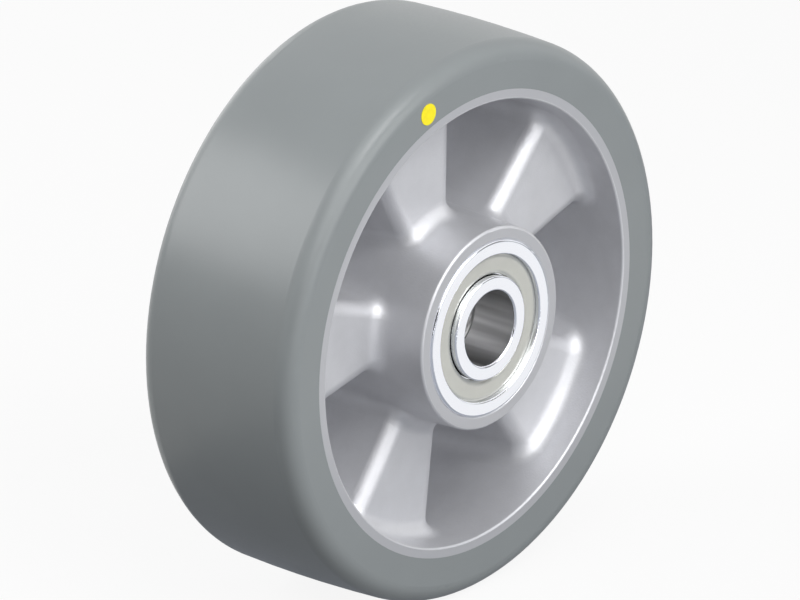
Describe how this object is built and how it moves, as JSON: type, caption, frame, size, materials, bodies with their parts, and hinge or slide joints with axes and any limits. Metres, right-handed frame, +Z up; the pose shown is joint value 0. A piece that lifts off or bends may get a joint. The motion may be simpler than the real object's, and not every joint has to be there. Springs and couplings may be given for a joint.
{
  "type": "castor wheel",
  "caption": "Wheel for a castor: smooth moulded tread on a ribbed cast centre, with sealed ball bearings and a plain round bore for the axle.",
  "frame": {"origin": "centre of the wheel, on the axle's line and midway between its two sides", "axes": "+Y along the axle, +Z up, and the front with the paint dot looks towards -Y"},
  "size_m": [0.15, 0.06, 0.15],
  "materials": {
    "tread": "satin moulded elastomer",
    "cast_aluminium": "blasted die casting",
    "bearing_steel": "ground and polished",
    "ball_steel": "polished",
    "cage_steel": "pressed sheet",
    "shield": "matt pressed sheet",
    "turned_steel": "turned",
    "yellow_paint": "paint"
  },
  "bodies": {
    "axle_set": {"spacer_tube": "turned_steel", "front_inner_ring": "bearing_steel", "rear_inner_ring": "bearing_steel"},
    "wheel": {"tread": "tread", "rim": "cast_aluminium", "marking_dot": "yellow_paint", "front_outer_ring": "bearing_steel", "front_outer_shield": "shield", "front_inner_shield": "shield", "rear_outer_ring": "bearing_steel", "rear_outer_shield": "shield", "rear_inner_shield": "shield"},
    "front_cage": {"front_cage_outer_half": "cage_steel", "front_cage_inner_half": "cage_steel", "front_cage_rivets": "cage_steel"},
    "front_ball_1_body": {"front_ball_1": "ball_steel"},
    "front_ball_2_body": {"front_ball_2": "ball_steel"},
    "front_ball_3_body": {"front_ball_3": "ball_steel"},
    "front_ball_4_body": {"front_ball_4": "ball_steel"},
    "front_ball_5_body": {"front_ball_5": "ball_steel"},
    "front_ball_6_body": {"front_ball_6": "ball_steel"},
    "front_ball_7_body": {"front_ball_7": "ball_steel"},
    "front_ball_8_body": {"front_ball_8": "ball_steel"},
    "rear_cage": {"rear_cage_outer_half": "cage_steel", "rear_cage_inner_half": "cage_steel", "rear_cage_rivets": "cage_steel"},
    "rear_ball_1_body": {"rear_ball_1": "ball_steel"},
    "rear_ball_2_body": {"rear_ball_2": "ball_steel"},
    "rear_ball_3_body": {"rear_ball_3": "ball_steel"},
    "rear_ball_4_body": {"rear_ball_4": "ball_steel"},
    "rear_ball_5_body": {"rear_ball_5": "ball_steel"},
    "rear_ball_6_body": {"rear_ball_6": "ball_steel"},
    "rear_ball_7_body": {"rear_ball_7": "ball_steel"},
    "rear_ball_8_body": {"rear_ball_8": "ball_steel"}
  },
  "joints": [
    {"name": "wheel_spin", "type": "hinge", "parent": "axle_set", "child": "wheel", "pos_m": [0, 0, 0], "axis": [0, 1, 0], "continuous": true},
    {"name": "front_cage_spin", "type": "hinge", "parent": "axle_set", "child": "front_cage", "pos_m": [0, -0.023, 0], "axis": [0, 1, 0], "continuous": true},
    {"name": "front_ball_1_roll", "type": "hinge", "parent": "front_cage", "child": "front_ball_1_body", "pos_m": [0.01675, -0.023, 0], "axis": [0, 1, 0], "continuous": true},
    {"name": "front_ball_2_roll", "type": "hinge", "parent": "front_cage", "child": "front_ball_2_body", "pos_m": [0.01184, -0.023, 0.01184], "axis": [0, 1, 0], "continuous": true},
    {"name": "front_ball_3_roll", "type": "hinge", "parent": "front_cage", "child": "front_ball_3_body", "pos_m": [0, -0.023, 0.01675], "axis": [0, 1, 0], "continuous": true},
    {"name": "front_ball_4_roll", "type": "hinge", "parent": "front_cage", "child": "front_ball_4_body", "pos_m": [-0.01184, -0.023, 0.01184], "axis": [0, 1, 0], "continuous": true},
    {"name": "front_ball_5_roll", "type": "hinge", "parent": "front_cage", "child": "front_ball_5_body", "pos_m": [-0.01675, -0.023, 0], "axis": [0, 1, 0], "continuous": true},
    {"name": "front_ball_6_roll", "type": "hinge", "parent": "front_cage", "child": "front_ball_6_body", "pos_m": [-0.01184, -0.023, -0.01184], "axis": [0, 1, 0], "continuous": true},
    {"name": "front_ball_7_roll", "type": "hinge", "parent": "front_cage", "child": "front_ball_7_body", "pos_m": [0, -0.023, -0.01675], "axis": [0, 1, 0], "continuous": true},
    {"name": "front_ball_8_roll", "type": "hinge", "parent": "front_cage", "child": "front_ball_8_body", "pos_m": [0.01184, -0.023, -0.01184], "axis": [0, 1, 0], "continuous": true},
    {"name": "rear_cage_spin", "type": "hinge", "parent": "axle_set", "child": "rear_cage", "pos_m": [0, 0.023, 0], "axis": [0, 1, 0], "continuous": true},
    {"name": "rear_ball_1_roll", "type": "hinge", "parent": "rear_cage", "child": "rear_ball_1_body", "pos_m": [0.01675, 0.023, 0], "axis": [0, 1, 0], "continuous": true},
    {"name": "rear_ball_2_roll", "type": "hinge", "parent": "rear_cage", "child": "rear_ball_2_body", "pos_m": [0.01184, 0.023, 0.01184], "axis": [0, 1, 0], "continuous": true},
    {"name": "rear_ball_3_roll", "type": "hinge", "parent": "rear_cage", "child": "rear_ball_3_body", "pos_m": [0, 0.023, 0.01675], "axis": [0, 1, 0], "continuous": true},
    {"name": "rear_ball_4_roll", "type": "hinge", "parent": "rear_cage", "child": "rear_ball_4_body", "pos_m": [-0.01184, 0.023, 0.01184], "axis": [0, 1, 0], "continuous": true},
    {"name": "rear_ball_5_roll", "type": "hinge", "parent": "rear_cage", "child": "rear_ball_5_body", "pos_m": [-0.01675, 0.023, 0], "axis": [0, 1, 0], "continuous": true},
    {"name": "rear_ball_6_roll", "type": "hinge", "parent": "rear_cage", "child": "rear_ball_6_body", "pos_m": [-0.01184, 0.023, -0.01184], "axis": [0, 1, 0], "continuous": true},
    {"name": "rear_ball_7_roll", "type": "hinge", "parent": "rear_cage", "child": "rear_ball_7_body", "pos_m": [0, 0.023, -0.01675], "axis": [0, 1, 0], "continuous": true},
    {"name": "rear_ball_8_roll", "type": "hinge", "parent": "rear_cage", "child": "rear_ball_8_body", "pos_m": [0.01184, 0.023, -0.01184], "axis": [0, 1, 0], "continuous": true}
  ],
  "couplings": [
    {"joint": "front_cage_spin", "follows": "wheel_spin", "ratio": 0.61848},
    {"joint": "front_ball_1_roll", "follows": "wheel_spin", "ratio": 1.9916},
    {"joint": "front_ball_2_roll", "follows": "wheel_spin", "ratio": 1.9916},
    {"joint": "front_ball_3_roll", "follows": "wheel_spin", "ratio": 1.9916},
    {"joint": "front_ball_4_roll", "follows": "wheel_spin", "ratio": 1.9916},
    {"joint": "front_ball_5_roll", "follows": "wheel_spin", "ratio": 1.9916},
    {"joint": "front_ball_6_roll", "follows": "wheel_spin", "ratio": 1.9916},
    {"joint": "front_ball_7_roll", "follows": "wheel_spin", "ratio": 1.9916},
    {"joint": "front_ball_8_roll", "follows": "wheel_spin", "ratio": 1.9916},
    {"joint": "rear_cage_spin", "follows": "wheel_spin", "ratio": 0.61848},
    {"joint": "rear_ball_1_roll", "follows": "wheel_spin", "ratio": 1.9916},
    {"joint": "rear_ball_2_roll", "follows": "wheel_spin", "ratio": 1.9916},
    {"joint": "rear_ball_3_roll", "follows": "wheel_spin", "ratio": 1.9916},
    {"joint": "rear_ball_4_roll", "follows": "wheel_spin", "ratio": 1.9916},
    {"joint": "rear_ball_5_roll", "follows": "wheel_spin", "ratio": 1.9916},
    {"joint": "rear_ball_6_roll", "follows": "wheel_spin", "ratio": 1.9916},
    {"joint": "rear_ball_7_roll", "follows": "wheel_spin", "ratio": 1.9916},
    {"joint": "rear_ball_8_roll", "follows": "wheel_spin", "ratio": 1.9916}
  ]
}
